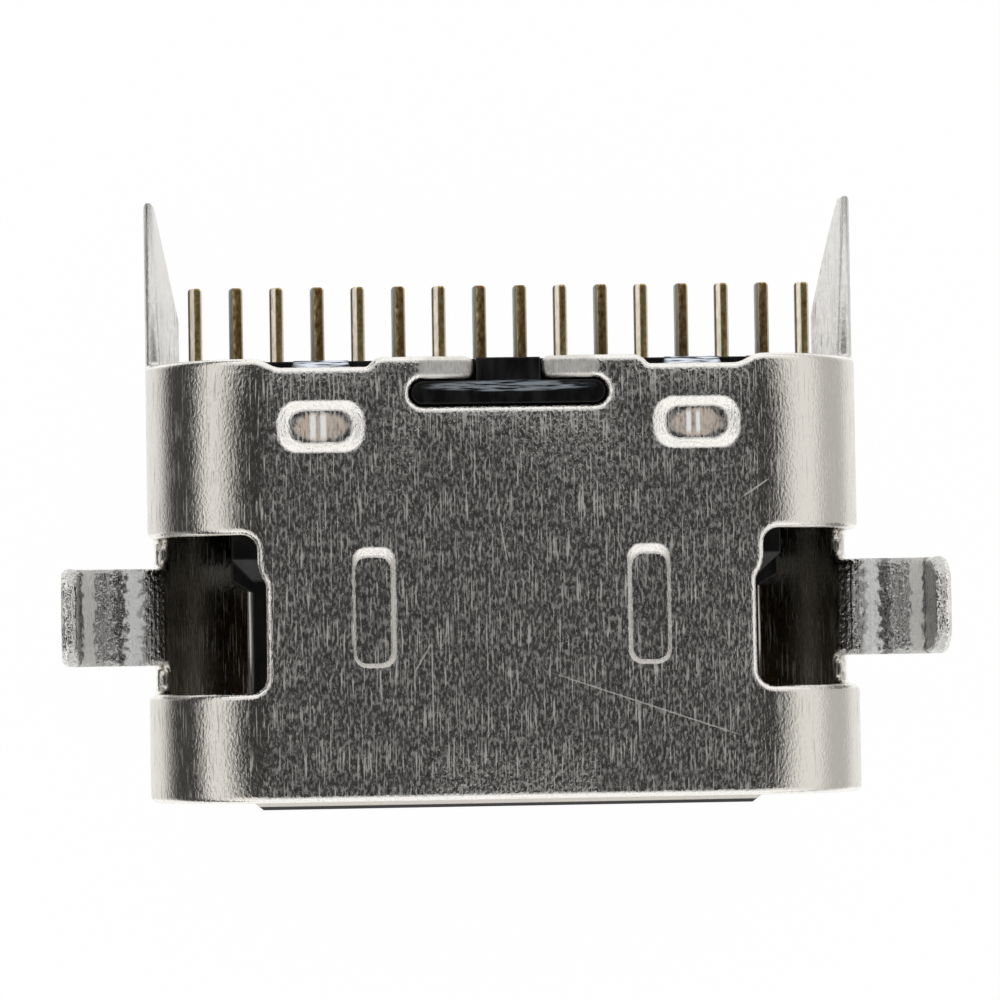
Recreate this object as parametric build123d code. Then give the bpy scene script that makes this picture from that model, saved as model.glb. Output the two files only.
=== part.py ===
from build123d import *
import os
from math import asin, cos, degrees

# Charging socket for a cut-out circuit board: a folded steel shell, pressed and bent from one
# sheet, around a moulded tongue with sixteen contacts in two rows and a steel plate between them.
# Millimetres. X runs across the socket. Y runs from the mouth (minus) to the solder tails (plus),
# with 0 at the middle of the legs. Z runs from the wall that it rests on (0) to the slotted wall.

# Shell tube
sheet = 0.20  # thickness of the steel
socket_width = 8.34  # opening between the rounded side walls
socket_height = 2.56  # opening between the flat walls
mouth_y = -2.27  # front edge of the shell
rear_y = 3.07  # rear edge of the two flat walls

# Arms that continue the side walls past the rear edge
arm_full_length = 0.60  # stretch of full height behind the rear edge
arm_taper_length = 1.42  # tapered stretch behind that
arm_inset = 0.25  # how far the lower edge curls in past the inner face of the side wall
arm_tip_width = 0.22  # seen from above

# Windows in the rounded side walls, where the legs were cut out of the sheet
window_length = 1.90  # along Y, centred on the legs
window_reach = 1.21  # from the inner face of the side wall to its edge in the flat wall
window_step = 0.10  # the rear stretch of that edge stands this much further out
window_step_y = 0.36  # where the step starts
window_step_length = 0.16  # length of the slope of the step
window_corner_radius = 0.20
relief_radius = 0.15  # lower corners of the window, beside the legs

# Legs that bend outwards to the board seat and then up through the board
leg_width = 1.19  # along Y
leg_reach = 1.05  # from the outer face of the side wall to the outer face of the leg
leg_height = 0.90  # tip above the board seat
leg_bend_radius = 0.20  # inside of the bend up
seat_bend_radius = 0.22  # inside of the bend outwards
leg_tip_chamfer_y = 0.20
leg_tip_chamfer_z = 0.30
leg_root_angle = 60.0  # the leg strip starts this far down the side wall, in degrees
leg_root_radius = 0.13  # where the edges of the leg run out into the wall

# T-shaped slot in the rear of the slotted wall, with two ears bent down behind the housing
slot_width = 2.40
slot_length = 0.335  # along Y
slot_neck_width = 0.83
ear_length_y = 0.27  # between the slot and the rear edge
ear_drop = 0.12  # how far the free end is bent down

# Shallow notches in the rear edge of the slotted wall
notch_inner_x = 1.60
notch_outer_x = 3.02
notch_depth = 0.115
notch_steep = 0.10  # run of the inner flank along X
notch_gentle = 0.23  # run of the outer flank along X

# Dimples with rounded ends, pressed in to hold the housing
dimple_x = 2.27
dimple_from_rear = 0.83
dimple_width = 1.13
dimple_length = 0.67
dimple_corner_radius = 0.27
dimple_flank_x = 0.21  # run of the sloping flank towards each end
dimple_flank_y = 0.14  # and towards each side
dimple_depth = 0.12

# Long bumps pressed in to grip the plug
bump_x = 1.655
bump_y = 0.04
bump_width = 0.54
bump_length = 1.30
bump_corner_radius = 0.18
bump_depth = 0.10
bump_flank = 0.06  # run of the sloping flank

# Dovetail where the two edges of the sheet meet in the wall that it rests on
seam_gap = 0.02
seam_x = -0.45
key_reach = 0.90  # along X
key_neck = 1.10  # along Y
key_head = 1.70  # along Y

# Moulded housing
housing_fit = 0.02  # clearance inside the shell and round what is pressed in
block_front_y = 1.70
block_recess = 0.02  # how far the block stays inside the rear edge of the shell
block_chamfer = 0.10
scallop_pitches = (3.5, 5.5)  # scallops in the rear edge of the block, over these upper tails
scallop_radius = 0.17
scallop_depth = 0.25
root_front_y = 0.42
root_width = 6.69
root_height = 1.40
root_chamfer = 0.25
boss_recess = 0.06  # the boss in the T slot stays this far below the outer face
slot_fit = 0.03  # gap between the boss and the edges of the slot

# Tongue
tongue_thickness = 0.70
tongue_tip_y = -2.38
tongue_tip_width = 6.00
tongue_shoulder_front_y = -2.10
tongue_shoulder_rear_y = -1.10
tongue_waist_width = 6.20
tongue_waist_front_y = -1.00
tongue_waist_rear_y = 0.27
tongue_edge_chamfer = 0.12

# Steel plate inside the tongue
plate_thickness = 0.15
plate_show = 0.03  # how far its side edges stand out of the waist of the tongue
plate_front_y = -2.10
plate_rear_y = 1.60
plate_front_width = 6.00
plate_hole_x = 2.00
plate_hole_y = 0.10
plate_hole_radius = 0.30

# Carriers that hold each row of contacts inside the housing
carrier_height = 0.42
carrier_front_y = 0.62
carrier_rear_y = 2.16
carrier_cover = 0.15  # moulding left beside a carrier in the root
carrier_foot_width = 8.00  # its wider rear stretch, inside the block
carrier_foot_front_y = 1.82

# Contacts
tongue_spacing = 0.50  # of the places on the tongue
tail_width = 0.17
tail_clearance = 0.335  # from the side wall to the outer tail
tail_tip_y = 4.03
contact_thickness = 0.12
contact_front_y = -1.92
contact_width = 0.25
spread_front_y = 0.72  # the strips spread sideways from the tongue pitch to the tail pitch
spread_rear_y = 2.02
joggle_front_y = 2.22  # and step to the level of the board seat
joggle_rear_y = 2.58
contact_bend_radius = 0.12

# Places of the contacts on the tongue in steps from the middle, from left to right, the same for
# the row on the slotted side and for the row on the other side
tongue_places = (-5.5, -2.5, -1.5, -0.5, 0.5, 1.5, 2.5, 5.5)

# Worked out from the sizes above
mid_z = sheet + socket_height / 2  # middle plane of the socket and the board seat
top_z = 2 * mid_z
inner_top_z = top_z - sheet
inner_radius = socket_height / 2
side_x = socket_width / 2 - inner_radius  # centre line of the rounded side walls
leg_span = socket_width + 2 * (sheet + leg_reach)  # over the outer faces of both legs
tail_steps = 2 * len(tongue_places) - 1
tail_pitch = (socket_width - tail_width - 2 * tail_clearance) / tail_steps
arm_tip_y = rear_y + arm_full_length + arm_taper_length
block_rear_y = rear_y - block_recess
slot_rear_y = rear_y - ear_length_y
window_edge_x = socket_width / 2 - window_reach
relief_depth = seat_bend_radius + sheet  # how far a window is cut down beside its leg
reach = leg_span  # longer than any piece, for cuts that go right through


def prism_xy(outline, z_from, z_to):
    """Solid with an outline seen from above, between two heights."""
    return extrude(Plane.XY.offset(z_from) * outline, amount=z_to - z_from)


def prism_along_y(outline, y_from, y_to):
    """Solid with an outline in X and Z, between two places along Y."""
    return extrude(Plane.XZ.offset(-y_from) * outline, amount=y_from - y_to)


def polygon(*points):
    """Closed outline through points."""
    return make_face(Polyline(*points, close=True))


def mirrored_polygon(*points):
    """Closed outline that is the same on both sides of X 0, from the points of its right half."""
    left = [(-x, y) for x, y in reversed(points)]
    return polygon(*points, *left)


def rectangle(x_from, x_to, y_from, y_to):
    """Rectangle between two places along each axis."""
    middle = Pos((x_from + x_to) / 2, (y_from + y_to) / 2)
    return middle * Rectangle(x_to - x_from, y_to - y_from)


def rounded_slab(width, height, y_from, y_to):
    """Solid with flat walls and full-round sides, centred on the middle plane of the socket."""
    return prism_along_y(Pos(0, mid_z) * SlotOverall(width, height), y_from, y_to)


def both_sides(solid):
    """A solid and its mirror image across X 0."""
    return Part() + [solid, mirror(solid, about=Plane.YZ)]


def pressed(outline, floor, depth, level):
    """Solid of a tapered hollow from an outline at a level down to a smaller floor."""
    upper = Plane.XY.offset(level) * outline
    lower = Plane.XY.offset(level - depth) * floor
    return loft(Sketch() + [upper, lower])


def dimple(level, margin):
    """Both dimples from a level down, for the hollow, its back and its pocket in the housing."""
    place = Pos(dimple_x, rear_y - dimple_from_rear)
    width = dimple_width + 2 * margin
    length = dimple_length + 2 * margin
    radius = dimple_corner_radius + margin
    outline = place * RectangleRounded(width, length, radius)
    floor_width = width - 2 * dimple_flank_x
    floor_length = length - 2 * dimple_flank_y
    floor_radius = radius * floor_length / length
    floor = place * RectangleRounded(floor_width, floor_length, floor_radius)
    return both_sides(pressed(outline, floor, dimple_depth + margin, level))


def bump(level):
    """Both long bumps from a level down, for the hollow and its back."""
    place = Pos(bump_x, bump_y)
    floor_radius = bump_corner_radius - bump_flank / 2
    outline = place * RectangleRounded(bump_width, bump_length, bump_corner_radius)
    floor = place * RectangleRounded(
        bump_width - 2 * bump_flank, bump_length - 2 * bump_flank, floor_radius
    )
    return both_sides(pressed(outline, floor, bump_depth, level))


def arms():
    """The side walls' lower halves behind the rear edge, tapering to a tip."""
    outer_x = socket_width / 2 + sheet
    inner_x = socket_width / 2 - arm_inset
    full_y = rear_y + arm_full_length
    outline = polygon(
        (inner_x, rear_y - sheet),
        (outer_x + sheet, rear_y - sheet),
        (outer_x + sheet, arm_tip_y),
        (outer_x - arm_tip_width, arm_tip_y),
        (inner_x, full_y),
    )
    return both_sides(prism_xy(outline, 0, mid_z))


def window():
    """Opening of the right side window, in the flat wall and down to the bend of the leg."""
    rear = window_length / 2
    step_rear_y = window_step_y + window_step_length
    step_x = window_edge_x + window_step
    outline = polygon(
        (window_edge_x, -rear),
        (reach, -rear),
        (reach, rear),
        (step_x, rear),
        (step_x, step_rear_y),
        (window_edge_x, window_step_y),
    )
    corners = outline.vertices().filter_by(lambda v: v.X < reach and abs(v.Y) == rear)
    outline = fillet(corners, radius=window_corner_radius)
    upper = prism_xy(outline, mid_z, top_z + sheet)
    side = rectangle(-rear, rear, mid_z - relief_depth, mid_z + relief_depth)
    side = fillet(side.vertices().group_by(Axis.Y)[0], radius=relief_radius)
    lower = Pos(side_x, 0) * extrude(Plane.YZ * side, amount=reach)
    lower = lower & prism_xy(rectangle(0, reach, -reach, reach), 0, mid_z)
    return upper + lower


def leg():
    """Right leg: up the side wall, out to the board seat and up through the board."""
    wall_radius = inner_radius + sheet / 2
    seat_radius = seat_bend_radius + sheet / 2
    lift_radius = leg_bend_radius + sheet / 2
    turn = degrees(asin((seat_radius + sheet / 2) / (wall_radius + seat_radius)))
    leg_x = leg_span / 2 - sheet / 2
    wall = CenterArc((side_x, mid_z), wall_radius, -leg_root_angle, leg_root_angle - turn)
    outward = JernArc(wall @ 1, wall % 1, seat_radius, turn - 90)
    seat = Line(outward @ 1, (leg_x - lift_radius, mid_z - sheet / 2))
    lift = JernArc(seat @ 1, seat % 1, lift_radius, 90)
    rise = Line(lift @ 1, (leg_x, mid_z + leg_height))
    strip = trace([wall, outward, seat, lift, rise], line_width=sheet)
    half = leg_width / 2
    tip_z = mid_z + leg_height
    root_z = mid_z - relief_depth
    front = polygon(
        (-half, root_z),
        (half, root_z),
        (half, tip_z - leg_tip_chamfer_z),
        (half - leg_tip_chamfer_y, tip_z),
        (leg_tip_chamfer_y - half, tip_z),
        (-half, tip_z - leg_tip_chamfer_z),
    )
    front += rectangle(-window_length / 2, window_length / 2, 0, root_z)
    inner_corners = front.vertices().filter_by(lambda v: abs(v.X) == half and v.Y == root_z)
    front = fillet(inner_corners, radius=leg_root_radius)
    return prism_along_y(strip, -reach, reach) & extrude(Plane.YZ * front, amount=reach)


def t_slot(margin):
    """Outline of the T slot with its neck to the rear edge, less a margin."""
    slot_y = slot_rear_y - slot_length / 2
    slot = Pos(0, slot_y) * SlotOverall(slot_width - 2 * margin, slot_length - 2 * margin)
    half = slot_neck_width / 2 - margin
    return slot + rectangle(-half, half, slot_y, rear_y + sheet)


def ear():
    """Right ear beside the neck of the slot, bent down from its outer end."""
    hinge_x = slot_width / 2 - slot_length / 2
    neck_x = slot_neck_width / 2
    tilt = degrees(asin(ear_drop / (hinge_x - neck_x)))
    flat = Box(
        hinge_x - neck_x + sheet,
        ear_length_y,
        sheet,
        align=(Align.MAX, Align.MIN, Align.MAX),
    )
    hinged = Pos(hinge_x, slot_rear_y, top_z) * Rot(0, -tilt, 0) * Pos(sheet, 0, 0) * flat
    return hinged & prism_xy(rectangle(0, hinge_x + sheet, 0, rear_y), 0, top_z)


def ear_space():
    """Space that the right ear leaves when it is bent, and the pocket it needs below."""
    hinge_x = slot_width / 2 - slot_length / 2
    neck_x = slot_neck_width / 2 - slot_fit
    return rectangle(neck_x, hinge_x, slot_rear_y - slot_fit, block_rear_y)


def notch():
    """Outline of the right notch in the rear edge."""
    return polygon(
        (notch_inner_x, rear_y),
        (notch_inner_x + notch_steep, rear_y - notch_depth),
        (notch_outer_x - notch_gentle, rear_y - notch_depth),
        (notch_outer_x, rear_y),
        (notch_outer_x, rear_y + sheet),
        (notch_inner_x, rear_y + sheet),
    )


def scallops():
    """Hollows in the rear edge of the block, over the upper tails that the notches show."""
    hollow = Cylinder(scallop_radius, 2 * scallop_depth)
    row = [Pos(place * tail_pitch, block_rear_y, inner_top_z) * hollow for place in scallop_pitches]
    return both_sides(Part() + row)


def seam():
    """Gap between the two edges of the sheet, with its dovetail key."""
    key_x = seam_x + key_reach
    half_neck = key_neck / 2
    half_head = key_head / 2
    line = Polyline(
        (seam_x, mouth_y - sheet),
        (seam_x, -half_neck),
        (key_x, -half_head),
        (key_x, half_head),
        (seam_x, half_neck),
        (seam_x, rear_y + sheet),
    )
    return prism_xy(trace(line, line_width=seam_gap), -sheet, 2 * sheet)


def make_shell():
    """The folded sheet: tube, arms, windows, legs, T slot, notches, dimples, bumps and seam."""
    outer = rounded_slab(socket_width + 2 * sheet, top_z, mouth_y, arm_tip_y)
    tube = outer - rounded_slab(socket_width, socket_height, mouth_y, arm_tip_y)
    body = tube & prism_xy(rectangle(-reach, reach, mouth_y, rear_y), 0, top_z)
    shell = body + (tube & arms())
    shell -= both_sides(window())
    shell += both_sides(leg())
    shell -= prism_xy(t_slot(0), mid_z, top_z)
    shell -= both_sides(prism_xy(notch(), mid_z, top_z))
    ears_cut = rectangle(0, slot_width / 2 - slot_length / 2, slot_rear_y, rear_y)
    shell -= both_sides(prism_xy(ears_cut, mid_z, top_z))
    shell += both_sides(ear())
    shell += dimple(inner_top_z, 0) + bump(inner_top_z)
    shell -= dimple(top_z, 0) + bump(top_z)
    return shell - seam()


def contact(tongue_x, tail_x, side):
    """One contact. side is 1 for the row on the slotted side and -1 for the other row."""
    blade_z = mid_z + side * (tongue_thickness - contact_thickness) / 2
    tail_z = mid_z - contact_thickness / 2
    profile = FilletPolyline(
        (contact_front_y, blade_z),
        (joggle_front_y, blade_z),
        (joggle_rear_y, tail_z),
        (tail_tip_y, tail_z),
        radius=contact_bend_radius,
    )
    side_view = extrude(
        Plane.YZ * trace(profile, line_width=contact_thickness), amount=reach, both=True
    )
    route = Polyline(
        (tongue_x, spread_front_y - tail_width),
        (tongue_x, spread_front_y),
        (tail_x, spread_rear_y),
        (tail_x, tail_tip_y),
    )
    if tongue_x == tail_x:
        route = Line((tail_x, spread_front_y - tail_width), (tail_x, tail_tip_y))
    half = contact_width / 2
    blade = rectangle(tongue_x - half, tongue_x + half, contact_front_y, spread_front_y)
    top_view = blade + trace(route, line_width=tail_width)
    return side_view & prism_xy(top_view, 0, top_z)


def make_contacts():
    """All contacts in the order of their tails, from left to right.

    Each place on the tongue has two tails, and the outer one of them is the upper contact's.
    """
    contacts = []
    for place, steps in enumerate(tongue_places):
        for tail in (2 * place, 2 * place + 1):
            tail_x = (tail - tail_steps / 2) * tail_pitch
            is_outer = (tail % 2 == 0) == (steps < 0)
            contacts.append(contact(steps * tongue_spacing, tail_x, 1 if is_outer else -1))
    return contacts


def tongue_outline():
    """Tongue seen from above: root, waist for the plug's latches, shoulders and tapered tip."""
    return mirrored_polygon(
        (root_width / 2, block_front_y),
        (root_width / 2, root_front_y),
        (tongue_waist_width / 2, tongue_waist_rear_y),
        (tongue_waist_width / 2, tongue_waist_front_y),
        (root_width / 2, tongue_shoulder_rear_y),
        (root_width / 2, tongue_shoulder_front_y),
        (tongue_tip_width / 2, tongue_tip_y),
    )


def make_plate():
    """Steel plate between the two rows. Its edges show at the waist of the tongue."""
    edge_x = tongue_waist_width / 2 + plate_show
    front_x = plate_front_width / 2
    outline = mirrored_polygon(
        (edge_x, plate_rear_y),
        (edge_x, tongue_waist_front_y),
        (front_x, tongue_shoulder_rear_y),
        (front_x, plate_front_y),
    )
    hole = Pos(plate_hole_x, plate_hole_y) * Circle(plate_hole_radius)
    outline -= Sketch() + [hole, mirror(hole, about=Plane.YZ)]
    return prism_xy(outline, mid_z - plate_thickness / 2, mid_z + plate_thickness / 2)


def carrier(side):
    """Carrier block of one row, without the channels of its contacts."""
    front_x = root_width / 2 - carrier_cover
    foot_x = carrier_foot_width / 2
    outline = mirrored_polygon(
        (foot_x, carrier_rear_y),
        (foot_x, carrier_foot_front_y),
        (front_x, block_front_y),
        (front_x, carrier_front_y),
    )
    face = side * plate_thickness / 2
    far = side * (plate_thickness / 2 + carrier_height)
    return prism_xy(outline, mid_z + min(face, far), mid_z + max(face, far))


def make_housing(inner_pieces):
    """Block in the rear of the shell, root and tongue, moulded round the inner pieces."""
    block = rounded_slab(
        socket_width - 2 * housing_fit, socket_height - 2 * housing_fit, block_front_y, block_rear_y
    )
    block = chamfer(block.faces().sort_by(Axis.Y)[-1].edges(), length=block_chamfer)
    block -= dimple(inner_top_z, housing_fit) + scallops()
    boss = prism_xy(t_slot(slot_fit), inner_top_z - sheet, top_z - boss_recess)
    boss &= prism_xy(rectangle(-reach, reach, 0, block_rear_y), 0, top_z)
    pocket_floor = inner_top_z - ear_drop - housing_fit
    block -= both_sides(prism_xy(ear_space(), pocket_floor, top_z))
    root_box = prism_along_y(
        Pos(0, mid_z) * Rectangle(root_width, root_height), root_front_y, block_front_y
    )
    root = chamfer(root_box.faces().sort_by(Axis.Y)[0].edges(), length=root_chamfer)
    tongue = prism_xy(tongue_outline(), mid_z - tongue_thickness / 2, mid_z + tongue_thickness / 2)
    tip_edges = tongue.faces().sort_by(Axis.Y)[0].edges().filter_by(Axis.X)
    tongue = chamfer(tip_edges, length=tongue_edge_chamfer)
    housing = block + boss + root + tongue
    for piece in inner_pieces:
        housing -= piece
    return housing


def main():
    """Write every piece as its own file."""
    contacts = make_contacts()
    plate = make_plate()
    pieces = {"shell": make_shell(), "mid_plate": plate}
    carriers = {"upper_carrier": carrier(1), "lower_carrier": carrier(-1)}
    for name, block in carriers.items():
        for strip in contacts:
            block -= strip
        pieces[name] = block
    pieces["housing"] = make_housing([plate, *carriers.values(), *contacts])
    for number, strip in enumerate(contacts, start=1):
        pieces[f"contact_{number:02d}"] = strip
    os.makedirs("parts", exist_ok=True)
    for name, piece in pieces.items():
        export_step(piece, f"parts/{name}.step")


main()
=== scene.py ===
"""Charging socket for a cut-out circuit board, dressed for a studio picture seen from above.

The folded steel shell is cut as a flat sheet with rounded rims and then bent by the fold that the
real one gets. The contacts and the plate are cut the same way. The mouldings keep the CAD model's own
solids. Shapes are worked out in millimetres and turned to metres when a piece is finished.
"""

import logging
from dataclasses import dataclass, field
from enum import Enum, IntEnum
from math import acos, asin, cos, pi, radians, sin, tan
from typing import Callable, Iterable

import bmesh
import bpy
from mathutils import Matrix, Vector


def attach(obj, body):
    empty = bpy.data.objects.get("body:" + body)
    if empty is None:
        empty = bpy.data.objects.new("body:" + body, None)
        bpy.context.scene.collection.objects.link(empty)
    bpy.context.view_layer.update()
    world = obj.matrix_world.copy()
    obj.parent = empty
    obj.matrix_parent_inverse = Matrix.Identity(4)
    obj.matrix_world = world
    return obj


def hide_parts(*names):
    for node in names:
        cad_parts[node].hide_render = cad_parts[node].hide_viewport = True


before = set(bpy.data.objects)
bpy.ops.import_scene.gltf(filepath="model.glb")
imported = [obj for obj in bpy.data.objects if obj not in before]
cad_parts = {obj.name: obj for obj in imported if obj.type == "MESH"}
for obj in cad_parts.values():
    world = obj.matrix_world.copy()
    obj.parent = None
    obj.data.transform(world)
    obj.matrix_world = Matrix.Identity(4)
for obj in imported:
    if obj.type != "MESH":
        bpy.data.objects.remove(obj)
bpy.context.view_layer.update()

LOG = logging.getLogger("charging_socket")
MM = 0.001
SHEET = "sheet"
SMOOTH = {"interpolation_type": "SMOOTHSTEP"}
WELD_MM = 1e-5
CUT_MM = 1e-6
NEAR_MM = 1e-4
ALONG_U = Vector((1, 0, 0))
ALONG_V = Vector((0, 1, 0))


def linear(colour: str) -> tuple[float, float, float, float]:
    """Turn an sRGB hex colour to linear values.

    Args:
        colour: Six hex digits with a leading hash.

    Returns:
        Linear red, green and blue, and an alpha of 1.
    """
    parts = [int(colour[start : start + 2], 16) / 255 for start in (1, 3, 5)]
    values = [c / 12.92 if c <= 0.04045 else ((c + 0.055) / 1.055) ** 2.4 for c in parts]
    return values[0], values[1], values[2], 1.0


def add_node(
    tree: bpy.types.NodeTree, kind: str, inputs: dict | None = None, **settings: object
) -> bpy.types.Node:
    """Add a shader node with its settings, its values and its links.

    Args:
        tree: The node tree that gets the node.
        kind: The node's type without the ShaderNode prefix.
        inputs: Values or output sockets by the name or number of the input.
        **settings: Properties of the node. The stops of a colour ramp are places with hex colours.

    Returns:
        The new node.
    """
    node = tree.nodes.new("ShaderNode" + kind)
    stops = settings.pop("stops", ())
    while 0 < len(stops) > len(node.color_ramp.elements):
        node.color_ramp.elements.new(1.0)
    for number, (place, colour) in enumerate(stops):
        node.color_ramp.elements[number].position = place
        node.color_ramp.elements[number].color = linear(colour)
    for name, value in settings.items():
        setattr(node, name, value)
    for key, value in (inputs or {}).items():
        if isinstance(value, bpy.types.NodeSocket):
            tree.links.new(value, node.inputs[key])
        else:
            node.inputs[key].default_value = value
    return node


def paint(
    tree: bpy.types.NodeTree,
    colour: bpy.types.NodeSocket,
    coats: Iterable[tuple[bpy.types.NodeSocket, str]],
) -> bpy.types.NodeSocket:
    """Lay shades over a colour, one after the other.

    Args:
        tree: The node tree.
        colour: The colour below.
        coats: Masks with the hex colours that they lay on.

    Returns:
        The colour on top.
    """
    for mask, shade in coats:
        inputs = {"Factor": mask, "A": colour, "B": linear(shade)}
        colour = add_node(tree, "Mix", inputs, data_type="RGBA").outputs[2]
    return colour


def within(
    tree: bpy.types.NodeTree,
    value: bpy.types.NodeSocket,
    limits: tuple[float, float],
    soft: float = 0.05,
) -> bpy.types.NodeSocket:
    """Build a mask that is 1 between two limits, with soft ends.

    Args:
        tree: The node tree.
        value: A length in millimetres.
        limits: The lower and the upper limit.
        soft: Half the length of an end.

    Returns:
        The mask.
    """
    ends = ((limits[0] - soft, limits[0] + soft), (limits[1] + soft, limits[1] - soft))
    low, high = (
        add_node(tree, "MapRange", {0: value, 1: start, 2: full}, **SMOOTH).outputs[0]
        for start, full in ends
    )
    return add_node(tree, "Math", {0: low, 1: high}, operation="MULTIPLY").outputs[0]


class Space(Enum):
    """Where a pattern gets its coordinates, with the length of a millimetre there."""

    OBJECT = MM
    SHEET = 1.0

    def places(self, tree: bpy.types.NodeTree) -> bpy.types.NodeSocket:
        """Give the coordinates: the object's own, or those kept from the unfolded sheet.

        Args:
            tree: The node tree.

        Returns:
            The coordinates.
        """
        if self is Space.SHEET:
            return add_node(tree, "Attribute", attribute_name=SHEET).outputs["Vector"]
        return add_node(tree, "TexCoord").outputs["Object"]


@dataclass(frozen=True)
class Streaks:
    """A noise drawn out along one direction, as brushing and rolling leave it.

    Its shift moves the pattern, so that two of one size differ.
    """

    width_mm: float
    length_mm: float
    detail: float = 2.0
    shift: float = 0.0

    def socket(self, tree: bpy.types.NodeTree, space: Space) -> bpy.types.NodeSocket:
        """Build the noise with its fine direction across X and its long one along Y.

        Args:
            tree: The node tree.
            space: Object coordinates in metres, or the unfolded sheet.

        Returns:
            The noise's factor.
        """
        places = space.places(tree)
        across, along = 1 / (self.width_mm * space.value), 1 / (self.length_mm * space.value)
        mapping = add_node(
            tree,
            "Mapping",
            {"Vector": places, "Location": (self.shift, self.shift, 0), "Scale": (across, along, across)},
        )
        inputs = {"Vector": mapping.outputs[0], "Scale": 1.0, "Detail": self.detail}
        return add_node(tree, "TexNoise", inputs).outputs["Fac"]


@dataclass(frozen=True)
class Scratch:
    """A straight scratch between two places on a flat wall, in millimetres.

    It is full up to one share of its half width and length, and gone at the other share.
    """

    start: tuple[float, float]
    end: tuple[float, float]
    width: float = 0.02
    full_share: float = 0.6
    gone_share: float = 1.15

    def socket(self, tree: bpy.types.NodeTree, places: bpy.types.NodeSocket) -> bpy.types.NodeSocket:
        """Build a mask that is 1 along the scratch.

        Args:
            tree: The node tree.
            places: Coordinates on the unfolded sheet.

        Returns:
            The mask.
        """
        start, end = Vector(self.start), Vector(self.end)
        middle, run = (start + end) / 2, end - start
        turn = Vector((1, 0)).angle_signed(run)
        mapping = add_node(
            tree,
            "Mapping",
            {"Vector": places, "Location": (*middle, 0), "Rotation": (0, 0, -turn)},
            vector_type="TEXTURE",
        )
        parts = add_node(tree, "SeparateXYZ", {0: mapping.outputs[0]})
        masks = []
        for axis, reach in ((0, run.length / 2), (1, self.width / 2)):
            size = add_node(tree, "Math", {0: parts.outputs[axis]}, operation="ABSOLUTE")
            inputs = {0: size.outputs[0], 1: reach * self.gone_share, 2: reach * self.full_share}
            masks.append(add_node(tree, "MapRange", inputs, **SMOOTH).outputs[0])
        return add_node(tree, "Math", {0: masks[0], 1: masks[1]}, operation="MULTIPLY").outputs[0]


@dataclass(frozen=True)
class Patch:
    """An oval patch on both sides of the middle, in millimetres, full up to a share of its reach."""

    centre: tuple[float, float, float]
    reach: tuple[float, float, float]
    full_share: float = 0.7

    def socket(self, tree: bpy.types.NodeTree, space: Space) -> bpy.types.NodeSocket:
        """Build a mask that is 1 in the patch and its mirror image.

        Args:
            tree: The node tree.
            space: Where the patch lies.

        Returns:
            The mask.
        """
        parts = add_node(tree, "SeparateXYZ", {0: space.places(tree)}).outputs
        side = add_node(tree, "Math", {0: parts[0]}, operation="ABSOLUTE").outputs[0]
        folded = add_node(tree, "CombineXYZ", {0: side, 1: parts[1], 2: parts[2]})
        inputs = {
            "Vector": folded.outputs[0],
            "Location": Vector(self.centre) * space.value,
            "Scale": Vector(self.reach) * space.value,
        }
        near = add_node(tree, "Mapping", inputs, vector_type="TEXTURE")
        away = add_node(tree, "VectorMath", {0: near.outputs[0]}, operation="LENGTH")
        inputs = {0: away.outputs["Value"], 1: 1.0, 2: self.full_share}
        return add_node(tree, "MapRange", inputs, **SMOOTH).outputs[0]


def new_material(name: str) -> tuple[bpy.types.Material, bpy.types.NodeTree, bpy.types.Node]:
    """Make an empty material.

    Args:
        name: Name of the material.

    Returns:
        The material, its node tree and its shader.
    """
    material = bpy.data.materials.new(name)
    material.use_nodes = True
    tree = material.node_tree
    shader = tree.nodes["Principled BSDF"]
    return material, tree, shader


@dataclass(frozen=True)
class LegBand:
    """Stripe across both legs at the bending edge. A dark one is painted shade in a crease, a pale one is
    rough scuffing with a painted highlight.

    Its limits are places along the unfolded sheet in millimetres.
    """

    name: str
    limits: tuple[float, float]
    shade: str
    roughness: float


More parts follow.
